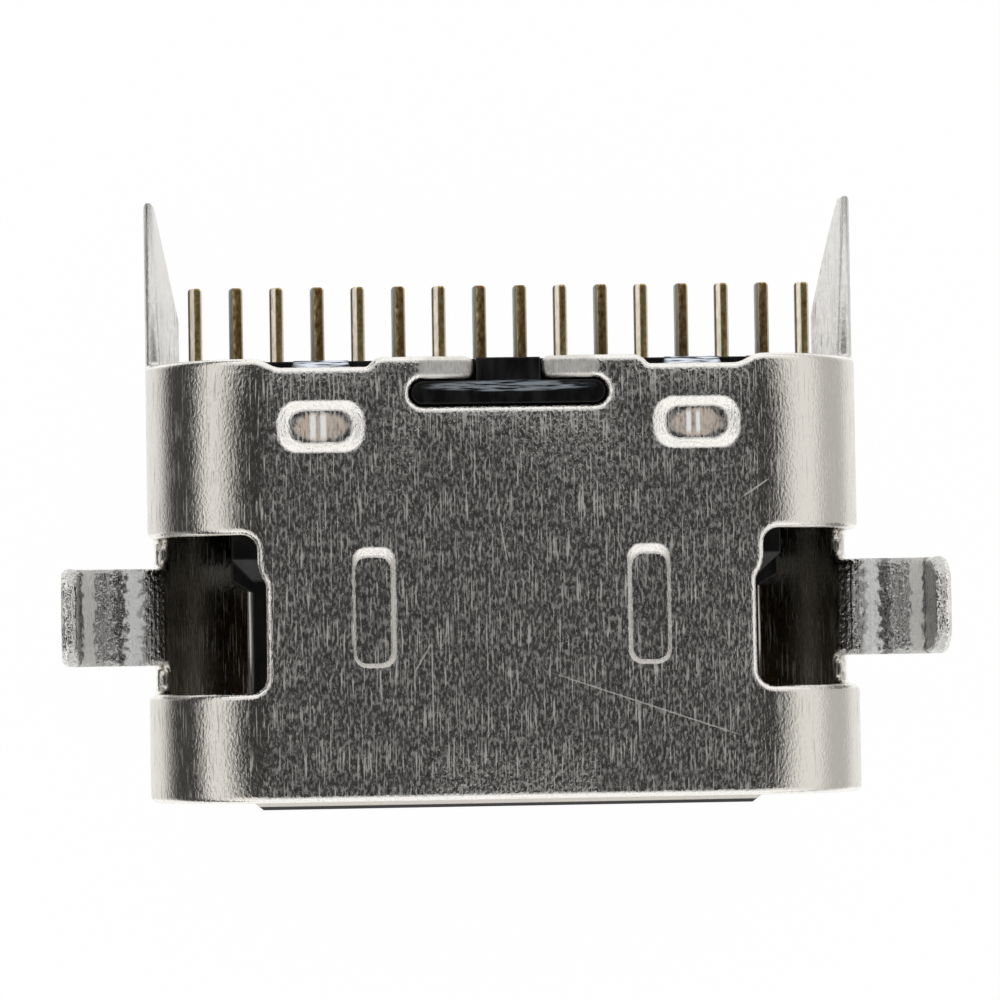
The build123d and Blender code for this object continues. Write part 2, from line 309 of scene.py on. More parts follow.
@dataclass(frozen=True)
class RolledSteel:
    """Nickel-plated stainless steel sheet, rolled, stamped and folded.

    Where the flat wall shows the dark above the camera, the eye sees grey with a fine speckle and
    short bright streaks along Y. On the round sides, which show the light, it looks smooth. The
    stretched legs are coarser, with ragged pale and dark bands from the bending edge: the dark bands
    are painted shade in the creases, the pale ones rough scuffing with a painted highlight. Cut rims
    and the flanks of pressed forms are burnished by the tools and painted almost white, partly as a
    painted highlight of those rounded edges. Each pattern has the width and the length of its grain
    in millimetres.
    """

    name: str = "nickel_plated_steel_rolled"
    dark: str = "#c6c4c0"
    light: str = "#d6d4d0"
    roughness: tuple[float, float] = (0.02, 0.41)
    patches: Streaks = Streaks(0.10, 0.20, 3.0, 3.0)
    streaks: Streaks = Streaks(0.020, 0.50, 3.0, 7.0)
    specks: Streaks = Streaks(0.032, 0.080, 4.0, 11.0)
    ragged: Streaks = Streaks(0.07, 0.10, 3.0, 13.0)
    grain: Streaks = Streaks(0.030, 0.055, 3.0)
    grain_depth: float = 0.011
    peel: Streaks = Streaks(0.05, 0.06, 2.0, 5.0)
    peel_depth: float = 0.035
    lines: Streaks = Streaks(0.035, 3.0, 1.0, 9.0)
    line_depth: float = 0.022
    side_smoothness: float = 0.6
    side_grain: float = 0.45
    streak_roughness: float = 0.42
    # Depths of the rolled rims and pressed flanks, tinted near white: burnish and a painted highlight.
    burnish_and_highlight_depth: tuple[float, float] = (-0.074, -0.008)
    side_range: tuple[float, float] = (2.8, 3.2)
    arm_range: tuple[float, float] = (3.06, 3.14)
    dimple_stain: Patch = Patch((2.27, 2.24, 0.0), (0.38, 0.20, 9.0))
    ear: Patch = Patch((0.74, 2.93, 0.0), (0.40, 0.24, 9.0))
    leg_range: tuple[float, float] = (3.4, 5.5)
    leg_half_width: float = 0.75
    stretched_range: tuple[float, float] = (5.05, 5.28)
    band_raggedness: float = 0.05
    # Dark crease bands are painted shade; pale scuff bands are rough scuffing with a painted highlight.
    leg_bands: tuple[LegBand, ...] = (
        LegBand("outer_crease_painted_shade", (4.32, 4.39), "#8a8987", 0.0),
        LegBand("outer_scuff_and_highlight", (4.42, 4.66), "#f8f7f5", 0.95),
        LegBand("middle", (4.67, 4.90), "#c0bfbd", 0.10),
        LegBand("inner_crease_painted_shade", (4.92, 5.03), "#858381", 0.0),
        LegBand("inner_scuff_and_highlight", (5.06, 5.23), "#ffffff", 0.65),
    )
    scratches: tuple[Scratch, ...] = (
        Scratch((0.475, -0.767), (2.786, -1.564), 0.016),
        Scratch((-0.975, -0.345), (-0.970, -1.489), 0.018),
        Scratch((-1.186, -0.727), (-0.976, -0.381), 0.016),
        Scratch((-1.607, -0.660), (-1.589, -1.058), 0.020),
        Scratch((2.786, 1.315), (3.127, 1.538), 0.022),
        Scratch((-0.133, 1.086), (-0.045, 0.543), 0.018),
    )
    punch_marks: tuple[Scratch, ...] = (
        Scratch((-2.363, 2.06), (-2.363, 2.42), 0.08),
        Scratch((-2.237, 2.06), (-2.237, 2.42), 0.08),
        Scratch((2.177, 2.09), (2.177, 2.40), 0.065),
        Scratch((2.290, 2.09), (2.290, 2.40), 0.055),
    )

    def zones(self, tree: bpy.types.NodeTree) -> dict[str, bpy.types.NodeSocket]:
        """Build the masks of the sides, the arms, the rims, and the legs with their bands.

        Args:
            tree: The node tree.

        Returns:
            The masks by name.
        """
        folded = add_node(tree, "VectorMath", {0: Space.SHEET.places(tree)}, operation="ABSOLUTE")
        parts = add_node(tree, "SeparateXYZ", {0: folded.outputs[0]})
        u, v = parts.outputs[0], parts.outputs[1]
        across = within(tree, v, (-1.0, self.leg_half_width))
        masks = {}
        for name, place, limits in (("side", u, self.side_range), ("arm", v, self.arm_range)):
            inputs = {0: place, 1: limits[0], 2: limits[1]}
            masks[name] = add_node(tree, "MapRange", inputs, **SMOOTH).outputs[0]
        depth = add_node(tree, "SeparateXYZ", {0: Space.SHEET.places(tree)}).outputs[2]
        masks["rim"] = within(tree, depth, self.burnish_and_highlight_depth, 0.006)
        ranges = {"leg": self.leg_range, "stretched": self.stretched_range}
        ranges.update({band.name: band.limits for band in self.leg_bands})
        noise = self.ragged.socket(tree, Space.SHEET)
        inputs = {0: noise, 1: 0.3, 2: 0.7, 3: -self.band_raggedness, 4: self.band_raggedness}
        offset = add_node(tree, "MapRange", inputs, **SMOOTH).outputs[0]
        ragged = add_node(tree, "Math", {0: u, 1: offset}, operation="ADD").outputs[0]
        for name, limits in ranges.items():
            along = within(tree, u if name == "leg" else ragged, limits, 0.02)
            masks[name] = add_node(tree, "Math", {0: along, 1: across}, operation="MULTIPLY").outputs[0]
        return masks

    def most(
        self, tree: bpy.types.NodeTree, start: bpy.types.NodeSocket | float, marks: tuple[Scratch, ...]
    ) -> bpy.types.NodeSocket:
        """Join the masks of some marks to a mask.

        Args:
            tree: The node tree.
            start: The mask that they are added to, or 0.
            marks: The marks.

        Returns:
            The mask that is 1 where any of them is.
        """
        for mark in marks:
            mask = mark.socket(tree, Space.SHEET.places(tree))
            start = add_node(tree, "Math", {0: mask, 1: start}, operation="MAXIMUM").outputs[0]
        return start

    def build(self) -> bpy.types.Material:
        """Build the material.

        Returns:
            The material.
        """
        material, tree, shader = new_material(self.name)
        patches = self.patches.socket(tree, Space.SHEET)
        streaks = self.streaks.socket(tree, Space.SHEET)
        specks = self.specks.socket(tree, Space.SHEET)
        streaked = add_node(tree, "MapRange", {0: streaks, 1: 0.56, 2: 0.67}, **SMOOTH).outputs[0]
        marks = self.most(tree, streaked, self.scratches)
        punched = self.most(tree, 0.0, self.punch_marks)
        zones = self.zones(tree)
        stops = [(0.3, self.dark), (0.7, self.light)]
        colour = add_node(tree, "ValToRGB", {"Fac": patches}, stops=stops).outputs["Color"]
        stain = self.dimple_stain.socket(tree, Space.SHEET)
        coats = (
            (zones["side"], "#dbd7cf"),
            (zones["leg"], "#d6d5d3"),
            # Leg bands: painted shade in the creases, painted highlights on the scuffing.
            *((zones[band.name], band.shade) for band in self.leg_bands),
            (stain, "#e6dacd"),
            # Rims and pressed flanks near white: tool burnish and a painted highlight.
            (zones["rim"], "#fbf8f2"),
            (zones["arm"], "#e9e7e3"),
            (punched, "#ffffff"),
        )
        tree.links.new(paint(tree, colour, coats), shader.inputs["Base Color"])
        inputs = {0: specks, 1: 0.26, 2: 0.74, 3: self.roughness[0], 4: self.roughness[1]}
        rough = add_node(tree, "MapRange", inputs, **SMOOTH).outputs[0]
        inputs = {0: zones["side"], 1: 0.0, 2: 1.0, 3: 1.0, 4: self.side_smoothness}
        smoother = add_node(tree, "MapRange", inputs, **SMOOTH).outputs[0]
        rough = add_node(tree, "Math", {0: rough, 1: smoother}, operation="MULTIPLY").outputs[0]
        amounts = (
            (marks, self.streak_roughness),
            (zones["stretched"], 0.35),
            (zones["arm"], 0.25),
            (stain, 0.34),
            *((zones[band.name], band.roughness) for band in self.leg_bands),
            (self.ear.socket(tree, Space.SHEET), 0.50),
            (punched, 0.7),
        )
        for mask, amount in amounts:
            added = add_node(tree, "Math", {0: mask, 1: amount, 2: rough}, operation="MULTIPLY_ADD")
            rough = added.outputs[0]
        tree.links.new(rough, shader.inputs["Roughness"])
        grain, peel, lines = (
            pattern.socket(tree, Space.SHEET) for pattern in (self.grain, self.peel, self.lines)
        )
        inputs = {0: zones["side"], 1: 0.0, 2: 1.0, 3: 1.0, 4: self.side_grain}
        grain_strength = add_node(tree, "MapRange", inputs, **SMOOTH).outputs[0]
        normal = None
        layers = (
            (grain, grain_strength, self.grain_depth),
            (peel, zones["leg"], self.peel_depth),
            (lines, zones["leg"], self.line_depth),
        )
        for height, strength, depth in layers:
            inputs = {"Height": height, "Strength": strength, "Distance": depth * MM}
            if normal:
                inputs["Normal"] = normal
            normal = add_node(tree, "Bump", inputs).outputs[0]
        tree.links.new(normal, shader.inputs["Normal"])
        shader.inputs["Metallic"].default_value = 1.0
        return material


@dataclass(frozen=True)
class StampedSteel:
    """Bare stainless steel strip, stamped, with fine rolling marks that show as faint lines."""

    name: str = "stainless_steel_stamped"
    dark: str = "#b9b6b1"
    light: str = "#dcdad6"
    roughness: tuple[float, float] = (0.2, 0.34)
    rolling: Streaks = Streaks(0.03, 0.6)

    def build(self) -> bpy.types.Material:
        """Build the material.

        Returns:
            The material.
        """
        material, tree, shader = new_material(self.name)
        grain = self.rolling.socket(tree, Space.OBJECT)
        stops = [(0.35, self.dark), (0.65, self.light)]
        colour = add_node(tree, "ValToRGB", {"Fac": grain}, stops=stops).outputs["Color"]
        tree.links.new(colour, shader.inputs["Base Color"])
        inputs = {0: grain, 1: 0.3, 2: 0.7, 3: self.roughness[0], 4: self.roughness[1]}
        rough = add_node(tree, "MapRange", inputs, **SMOOTH).outputs[0]
        tree.links.new(rough, shader.inputs["Roughness"])
        shader.inputs["Metallic"].default_value = 1.0
        return material


@dataclass(frozen=True)
class GoldPlating:
    """Thin gold over copper alloy, plated on a stamped strip.

    The eye sees a warm metal with brown mottling where the plating is thin and rougher. Pale, grey
    and dark strips lie along the tail's edges, where the punch has pulled the edge down: painted
    highlights and painted shade of those rolled edges.
    """

    name: str
    dark: str
    plain: str
    light: str
    roughness: float
    # Painted highlights and painted shade along the tail: start and end across it in millimetres, and hex
    # colour.
    strips: tuple[tuple[float, float, str], ...]
    mottle: Streaks = Streaks(0.04, 0.10, 3.0)
    mottle_depth: float = 0.008
    roughness_spread: float = 0.08

    def build(self) -> bpy.types.Material:
        """Build the material, with its strips across the tail from the tail's middle.

        Returns:
            The material.
        """
        material, tree, shader = new_material(self.name)
        grain = self.mottle.socket(tree, Space.OBJECT)
        stops = [(0.32, self.dark), (0.5, self.plain), (0.68, self.light)]
        colour = add_node(tree, "ValToRGB", {"Fac": grain}, stops=stops).outputs["Color"]
        across = add_node(tree, "SeparateXYZ", {0: Space.SHEET.places(tree)}).outputs[0]
        # Painted highlights and painted shade along the tail's rolled edges.
        coats = ((within(tree, across, (low, high), 0.006), shade) for low, high, shade in self.strips)
        tree.links.new(paint(tree, colour, coats), shader.inputs["Base Color"])
        low, high = self.roughness - self.roughness_spread, self.roughness + self.roughness_spread
        inputs = {0: grain, 1: 0.3, 2: 0.7, 3: high, 4: low}
        rough = add_node(tree, "MapRange", inputs, **SMOOTH).outputs[0]
        tree.links.new(rough, shader.inputs["Roughness"])
        inputs = {"Height": grain, "Strength": 0.5, "Distance": self.mottle_depth * MM}
        bump = add_node(tree, "Bump", inputs)
        tree.links.new(bump.outputs[0], shader.inputs["Normal"])
        shader.inputs["Metallic"].default_value = 1.0
        return material


@dataclass(frozen=True)
class MouldedBlack:
    """Black liquid crystal polymer, injection moulded.

    The eye sees near-black with a soft shine and the faint flow lines of the filler. On it lie a
    blue-grey painted highlight in the slot, a pale painted highlight along the tongue's front edge and
    a pale, metallic painted reflection on a rear chamfer, all broken into streaks.
    """

    name: str = "black_polymer_moulded"
    dark: str = "#060606"
    light: str = "#111110"
    roughness: tuple[float, float] = (0.24, 0.38)
    flow: Streaks = Streaks(0.12, 0.4, 3.0)
    flow_depth: float = 0.006
    # Streaks that break the painted highlights into strokes.
    glint_streaking: Streaks = Streaks(0.25, 0.02, 2.0)
    edge_radius: float = 0.03
    # Painted highlight in the slot, painted reflection on a rear chamfer, painted highlight along the
    # tongue's front edge.
    painted_slot_highlight: Patch = Patch((0.0, 2.705, 2.9), (1.12, 0.075, 0.2))
    painted_chamfer_reflection: Patch = Patch((2.25, 3.0, 2.7), (0.40, 0.12, 0.25))
    painted_front_highlight: Patch = Patch((0.0, -2.315, 1.785), (9.0, 0.05, 0.05))

    def build(self) -> bpy.types.Material:
        """Build the material, whose edges are softened as the mould leaves them.

        Returns:
            The material.
        """
        material, tree, shader = new_material(self.name)
        flow = self.flow.socket(tree, Space.OBJECT)
        stops = [(0.35, self.dark), (0.7, self.light)]
        colour = add_node(tree, "ValToRGB", {"Fac": flow}, stops=stops).outputs["Color"]
        glint_noise = self.glint_streaking.socket(tree, Space.OBJECT)
        glint_streaks = add_node(tree, "MapRange", {0: glint_noise, 1: 0.35, 2: 0.6}, **SMOOTH).outputs[0]
        # Pale painted highlight along the tongue's front edge.
        front_highlight = self.painted_front_highlight.socket(tree, Space.OBJECT)
        colour = paint(tree, colour, [(front_highlight, "#efe9df")])
        # Blue-grey painted highlight in the slot, pale painted reflection on the rear chamfer.
        for patch, shade in ((self.painted_slot_highlight, "#8d959c"), (self.painted_chamfer_reflection, "#e3eaf5")):
            painted_glint = patch.socket(tree, Space.OBJECT)
            share = add_node(tree, "Math", {0: painted_glint, 1: glint_streaks}, operation="MULTIPLY").outputs[0]
            colour = paint(tree, colour, [(share, shade)])
        # The chamfer comes last above, so its mask makes it metallic there: a painted reflection, not a
        # shine that the plastic has.
        tree.links.new(painted_glint, shader.inputs["Metallic"])
        tree.links.new(colour, shader.inputs["Base Color"])
        inputs = {0: flow, 1: 0.3, 2: 0.7, 3: self.roughness[0], 4: self.roughness[1]}
        rough = add_node(tree, "MapRange", inputs, **SMOOTH)
        tree.links.new(rough.outputs[0], shader.inputs["Roughness"])
        edges = add_node(tree, "Bevel", {"Radius": self.edge_radius * MM}, samples=6).outputs[0]
        inputs = {"Height": flow, "Strength": 0.3, "Distance": self.flow_depth * MM, "Normal": edges}
        bump = add_node(tree, "Bump", inputs)
        tree.links.new(bump.outputs[0], shader.inputs["Normal"])
        return material


def make_object(mesh: bmesh.types.BMesh, name: str, material: bpy.types.Material) -> bpy.types.Object:
    """Turn a bmesh in millimetres to an object in metres.

    Args:
        mesh: The bmesh, which is freed.
        name: Name of the object.
        material: Its material.

    Returns:
        The object.
    """
    bmesh.ops.scale(mesh, vec=(MM, MM, MM), verts=mesh.verts[:])
    data = bpy.data.meshes.new(name)
    mesh.to_mesh(data)
    mesh.free()
    data.materials.append(material)
    thing = bpy.data.objects.new(name, data)
    bpy.context.scene.collection.objects.link(thing)
    return thing


def finish_piece(
    mesh: bmesh.types.BMesh, name: str, material: bpy.types.Material, slot: str, *nodes: str
) -> bpy.types.Object:
    """Turn a bmesh in millimetres to a finished object that rides with the part.

    Args:
        mesh: The bmesh, which is freed.
        name: Name of the piece.
        material: Its material.
        slot: The material slot of the record; not used.
        *nodes: The nodes that it stands for.

    Returns:
        The object.
    """
    bmesh.ops.remove_doubles(mesh, verts=mesh.verts[:], dist=WELD_MM)
    bmesh.ops.recalc_face_normals(mesh, faces=mesh.faces[:])
    # The extrusion leaves the faces in an order that changes from run to run, so they are sorted.
    mesh.verts.index_update()
    ordered = sorted(mesh.faces, key=lambda face: sorted(vert.index for vert in face.verts))
    for number, face in enumerate(ordered):
        face.index = number
        face.smooth = True
        face.material_index = 0
    mesh.faces.sort()
    piece = make_object(mesh, name, material)
    normals = piece.modifiers.new("even_shading", "WEIGHTED_NORMAL")
    normals.keep_sharp = False
    normals.weight = 80
    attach(piece, "root")
    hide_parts(*nodes)
    LOG.info("%s has %d faces", name, len(piece.data.polygons))
    return piece


@dataclass(frozen=True)
class Corner:
    """A corner of a cut outline, with the length that its rounding takes off each side."""

    u: float
    v: float
    rounding: float = 0.0

    def mirrored(self) -> "Corner":
        """Give the corner on the other side of the sheet."""
        return Corner(-self.u, self.v, self.rounding)


def mirrored_run(corners: list[Corner]) -> list[Corner]:
    """Give a run of corners followed back on the other side of the sheet, in the opposite order."""
    return [corner.mirrored() for corner in reversed(corners)]


class Pressing(IntEnum):
    """The pressed forms, with the number that their faces carry until they are pressed."""

    DIMPLE = 1
    BUMP = 2


@dataclass
class Blank:
    """A flat sheet cut by a die, with a rolled rim on one face and a sharper one on the other.

    The upper face lies at height 0 and the lower one at minus the thickness.
    """

    thickness: float
    upper_roll: float
    lower_roll: float
    rim_steps: int = 4
    corner_steps: int = 6
    slot_corner_steps: int = 8
    press_ease: float = 0.15
    press_support: float = 0.012
    mesh: bmesh.types.BMesh = field(default_factory=bmesh.new)
    edges: list[bmesh.types.BMEdge] = field(default_factory=list)

    def cut(self, corners: list[Corner]) -> None:
        """Add an outline or a hole.

        Args:
            corners: Its corners in order.
        """
        before = set(self.mesh.edges)
        verts = [self.mesh.verts.new((corner.u, corner.v, 0)) for corner in corners]
        self.mesh.faces.new(verts)
        for rounding in sorted({corner.rounding for corner in corners} - {0.0}):
            picked = [v for v, corner in zip(verts, corners) if corner.rounding == rounding]
            self._round(picked, rounding, self.corner_steps)
        fresh = [edge for edge in self.mesh.edges if edge not in before]
        # Here and in thicken, a dict drops doubles and keeps the order.
        faces = list(dict.fromkeys(face for edge in fresh for face in edge.link_faces))
        bmesh.ops.delete(self.mesh, geom=faces, context="FACES_ONLY")
        self.edges += fresh

    def _round(self, verts: list[bmesh.types.BMVert], rounding: float, steps: int) -> None:
        """Round some corners of the flat outline.

        Args:
            verts: The corners.
            rounding: The length that it takes off each side.
            steps: Edges of each rounding.
        """
        bmesh.ops.bevel(
            self.mesh,
            geom=verts,
            offset=rounding,
            offset_type="OFFSET",
            affect="VERTICES",
            segments=steps,
            profile=0.5,
            material=-1,
        )

    def press_slot(
        self, mark: Pressing, centre: tuple[float, float], size: tuple[float, float], corner: float
    ) -> None:
        """Mark a rounded rectangle that is pressed in later.

        Args:
            mark: The form that it gets.
            centre: Its middle.
            size: Its width and length.
            corner: Radius of its corners.
        """
        half_u, half_v = size[0] / 2, size[1] / 2
        places = [(-half_u, -half_v), (half_u, -half_v), (half_u, half_v), (-half_u, half_v)]
        known = set(self.mesh.verts)
        verts = [self.mesh.verts.new((centre[0] + u, centre[1] + v, 0)) for u, v in places]
        self.mesh.faces.new(verts)
        self._round(verts, corner, self.slot_corner_steps)
        self._mark([v for v in self.mesh.verts if v not in known], mark)

    def _mark(self, verts: list[bmesh.types.BMVert], mark: Pressing) -> None:
        """Number the faces between some points and add their edges to the outline.

        Args:
            verts: The points.
            mark: The form that the faces get.
        """
        chosen = set(verts)
        for face in self.mesh.faces:
            if chosen.issuperset(face.verts):
                face.material_index = mark
                self.edges += face.edges[:]

    def thicken(self) -> None:
        """Fill between the outlines, give the sheet its thickness and roll its rims."""
        edges = list(dict.fromkeys(self.edges))
        bmesh.ops.triangle_fill(self.mesh, use_beauty=True, edges=edges, normal=(0, 0, 1))
        for face in self.mesh.faces:
            if face.normal.z < 0:
                face.normal_flip()
        lower = self.mesh.faces[:]
        made = bmesh.ops.extrude_face_region(self.mesh, geom=lower, use_keep_orig=True)
        upper = [item for item in made["geom"] if isinstance(item, bmesh.types.BMFace)]
        points = list({vert for face in upper for vert in face.verts})
        bmesh.ops.translate(self.mesh, vec=(0, 0, -self.upper_roll), verts=points)
        points = list({vert for face in lower for vert in face.verts})
        bmesh.ops.translate(self.mesh, vec=(0, 0, self.lower_roll - self.thickness), verts=points)
        for face in lower:
            face.normal_update()
            if face.normal.z > 0:
                face.normal_flip()
        self._roll(upper, self.upper_roll)
        self._roll(lower, self.lower_roll)

    def _roll(self, faces: list[bmesh.types.BMFace], roll: float) -> None:
        """Round the rim of one side of the sheet.

        Args:
            faces: The faces of that side.
            roll: The radius.
        """
        inset, rise = 0.0, 0.0
        for step in range(1, self.rim_steps + 1):
            turn = pi / 2 * step / self.rim_steps
            next_inset, next_rise = roll * (1 - cos(turn)), roll * sin(turn)
            bmesh.ops.inset_region(
                self.mesh,
                faces=faces,
                thickness=next_inset - inset,
                depth=next_rise - rise,
                use_boundary=True,
                use_even_offset=True,
            )
            inset, rise = next_inset, next_rise

    def press(
        self,
        mark: Pressing,
        shrink: tuple[float, float],
        depth: float,
        shift: tuple[float, float] = (0.0, 0.0),
        steps: int = 10,
    ) -> None:
        """Press the marked faces down, with the same form on both faces of the sheet.

        The slope is straight between a rounding at its head and one at its foot.

        Args:
            mark: The form, whose faces were marked before.
            shrink: How much smaller the floor is on each side.
            depth: How deep it goes.
            shift: How far the floor lies away from the sheet's middle and towards its rear.
            steps: Rings of the slope.
        """
        ease = self.press_ease
        for face in [face for face in self.mesh.faces if face.material_index == mark]:
            self._inset(face, self.press_support)
            centre = face.calc_center_bounds()
            half_u = max(abs(vert.co.x - centre.x) for vert in face.verts)
            half_v = max(abs(vert.co.y - centre.y) for vert in face.verts)
            drop = 0.0
            aside = shift[0] if centre.x > 0 else -shift[0]
            for step in range(1, steps + 1):
                share = step / steps
                near_end = min(share, 1 - share)
                rounded = near_end * near_end / (2 * ease) if near_end < ease else near_end - ease / 2
                fallen = rounded / (1 - ease)
                next_drop = depth * (fallen if share <= 0.5 else 1 - fallen)
                self._inset(face, NEAR_MM)
                now_u = max(abs(vert.co.x - centre.x) for vert in face.verts)
                now_v = max(abs(vert.co.y - centre.y) for vert in face.verts)
                scale = ((half_u - shrink[0] * share) / now_u, (half_v - shrink[1] * share) / now_v, 1)
                space = Matrix.Translation(-centre)
                bmesh.ops.scale(self.mesh, vec=scale, space=space, verts=face.verts[:])
                move = (aside / steps, shift[1] / steps, drop - next_drop)
                bmesh.ops.translate(self.mesh, vec=move, verts=face.verts[:])
                centre += Vector((move[0], move[1], 0))
                drop = next_drop
            self._inset(face, self.press_support)

    def _inset(self, face: bmesh.types.BMFace, thickness: float) -> None:
        """Shrink a face within a ring of new faces at the same level.

        Args:
            face: The face.
            thickness: Width of the ring.
        """
        bmesh.ops.inset_region(
            self.mesh, faces=[face], thickness=thickness, use_boundary=True, use_even_offset=True
        )

    def score(self, places: list[float], direction: Vector) -> None:
        """Cut the faces along parallel lines, so that the sheet can bend there.

        Args:
            places: Where the lines lie along the direction.
            direction: The direction across the lines.
        """
        for place in places:
            geometry = self.mesh.verts[:] + self.mesh.edges[:] + self.mesh.faces[:]
            bmesh.ops.bisect_plane(
                self.mesh, geom=geometry, dist=CUT_MM, plane_co=direction * place, plane_no=direction
            )

    def chart(self, origin_u: float = 0.0) -> None:
        """Keep the places in the flat sheet for the patterns of its finish.

        Args:
            origin_u: The place along u that they are counted from.
        """
        chart = self.mesh.verts.layers.float_vector.new(SHEET)
        for vert in self.mesh.verts:
            vert[chart] = vert.co - Vector((origin_u, 0, 0))

    def fold(self, bend: Callable[[Vector], Vector]) -> None:
        """Move every point of the flat sheet to the place that a bend gives it."""
        for vert in self.mesh.verts:
            vert.co = bend(vert.co)


@dataclass
class Shell:
    """The folded steel sheet, with sizes in millimetres."""

    sheet: float = 0.20
    socket_width: float = 8.34
    socket_height: float = 2.56
    mouth_y: float = -2.27
    rear_y: float = 3.07
    arm_full_length: float = 0.60
    arm_taper_length: float = 1.42
    arm_inset: float = 0.25
    arm_tip_width: float = 0.22
    window_length: float = 1.90
    window_reach: float = 1.21
    window_step: float = 0.10
    window_step_y: float = 0.36
    window_step_length: float = 0.16
    window_corner: float = 0.20
    relief_corner: float = 0.15
    leg_width: float = 1.19
    leg_reach: float = 1.05
    leg_root: float = 0.13
    leg_height: float = 0.90
    leg_bend: float = 0.20
    seat_bend: float = 0.22
    leg_tip_chamfer_y: float = 0.20
    leg_tip_chamfer_z: float = 0.30
    slot_width: float = 2.40
    slot_length: float = 0.335
    slot_neck: float = 0.83
    ear_length: float = 0.27
    ear_drop: float = 0.12
    notch_inner: float = 1.60
    notch_outer: float = 3.02
    notch_depth: float = 0.115
    notch_steep: float = 0.10
    notch_gentle: float = 0.23
    dimple_x: float = 2.27
    dimple_from_rear: float = 0.83
    dimple_size: tuple[float, float] = (1.13, 0.67)
    dimple_corner: float = 0.27
    dimple_flank: tuple[float, float] = (0.21, 0.14)
    dimple_depth: float = 0.085
    bump_x: float = 1.655
    bump_y: float = 0.06
    bump_size: tuple[float, float] = (0.54, 1.48)
    bump_corner: float = 0.18
    bump_flank: tuple[float, float] = (0.042, 0.09)
    bump_shift: tuple[float, float] = (0.016, -0.045)
    bump_depth: float = 0.09
    seam_gap: float = 0.02
    seam_x: float = -0.45
    key_reach: float = 0.90
    key_neck: float = 1.10
    key_head: float = 1.70
    outer_roll: float = 0.085
    inner_roll: float = 0.08
    corner: float = 0.09
    arm_corners: tuple[float, float] = (0.05, 0.08)
    notch_corners: tuple[float, float] = (0.06, 0.03)
    step_corner: float = 0.05
    slot_roundness: float = 0.98
    arm_tip_share: float = 0.6
    arm_margin: float = 0.002
    arm_steps: int = 9
    side_steps: int = 60
    bend_steps: int = 10
    ear_curl: float = 0.3

    def __post_init__(self) -> None:
        """Work out the radii, the middle plane and the path of the leg."""
        self.inner_radius = self.socket_height / 2
        self.radius = self.inner_radius + self.sheet
        self.side_x = self.socket_width / 2 - self.inner_radius
        self.mid_z = self.socket_height / 2 + self.sheet
        self.top_z = 2 * self.mid_z
        half = self.sheet / 2
        self.mid_radius = self.radius - half
        self.seat_radius = self.seat_bend + half
        self.lift_radius = self.leg_bend + half
        self.root_turn = asin((self.seat_radius + half) / (self.mid_radius + self.seat_radius))
        self.root_u = self.side_x + self.radius * (pi / 2 + self.root_turn)
        reach = (self.mid_radius + self.seat_radius) * cos(self.root_turn)
        self.seat_start_x = self.side_x + reach
        self.leg_x = self.socket_width / 2 + self.sheet + self.leg_reach - half
        self.seat_end_x = self.leg_x - self.lift_radius
        self.outward_run = self.seat_radius * (pi / 2 - self.root_turn)
        self.seat_run = self.seat_end_x - self.seat_start_x
        self.lift_run = self.lift_radius * pi / 2
        self.rise_run = self.leg_height + half - self.lift_radius
        self.leg_run = self.outward_run + self.seat_run + self.lift_run + self.rise_run
        self.ear_hinge = (self.slot_width - self.slot_length) / 2

    def around(self, turn: float) -> float:
        """Give the place on the flat sheet at a turn round the side wall, from the slotted wall."""
        return self.side_x + self.radius * turn

    def seam_u(self, x: float, side: int) -> float:
        """Give the place on the flat sheet of an X in the closed wall, reached past one side."""
        return self.around(pi) + self.side_x - side * x

    def arm_edge(self) -> list[Corner]:
        """Give the lower edge of the right arm, straight when seen from above.

        Returns:
            Its corners from the root to the tip.
        """
        inner_x = self.socket_width / 2 - self.arm_inset
        tip_x = self.socket_width / 2 + self.sheet - self.arm_tip_width
        full_y = self.rear_y + self.arm_full_length
        tip_y = full_y + self.arm_taper_length
        corners = []
        for step in range(self.arm_steps + 1):
            share = step / self.arm_steps
            x = min(inner_x + (tip_x - inner_x) * share, self.socket_width / 2 - self.arm_margin)
            turn = acos((x - self.side_x) / self.inner_radius)
            y = full_y + (tip_y - full_y) * share
            corners.append(Corner(self.around(pi / 2 + turn), y))
        return corners

    def rear_edge(self) -> list[Corner]:
        """Give the right half of the rear edge.

        Returns:
            Its corners from the arm to the end of the slot.
        """
        arm = self.arm_edge()
        near_u = self.around(pi / 2)
        notch_y = self.rear_y - self.notch_depth
        neck, slot = self.slot_neck / 2, self.slot_width / 2
        slot_rear = self.rear_y - self.ear_length
        end = self.slot_length / 2 * self.slot_roundness
        return [
            Corner(arm[0].u, self.rear_y, self.arm_corners[0]),
            *arm,
            Corner(near_u, arm[-1].v),
            Corner(near_u, self.rear_y, self.arm_corners[1]),
            Corner(self.notch_outer, self.rear_y, self.corner),
            Corner(self.notch_outer - self.notch_gentle, notch_y, self.notch_corners[0]),
            Corner(self.notch_inner + self.notch_steep, notch_y, self.notch_corners[1]),
            Corner(self.notch_inner, self.rear_y, self.corner),
            Corner(neck, self.rear_y, self.corner),
            Corner(neck, slot_rear, self.corner),
            Corner(slot, slot_rear, end),
            Corner(slot, slot_rear - self.slot_length, end),
        ]

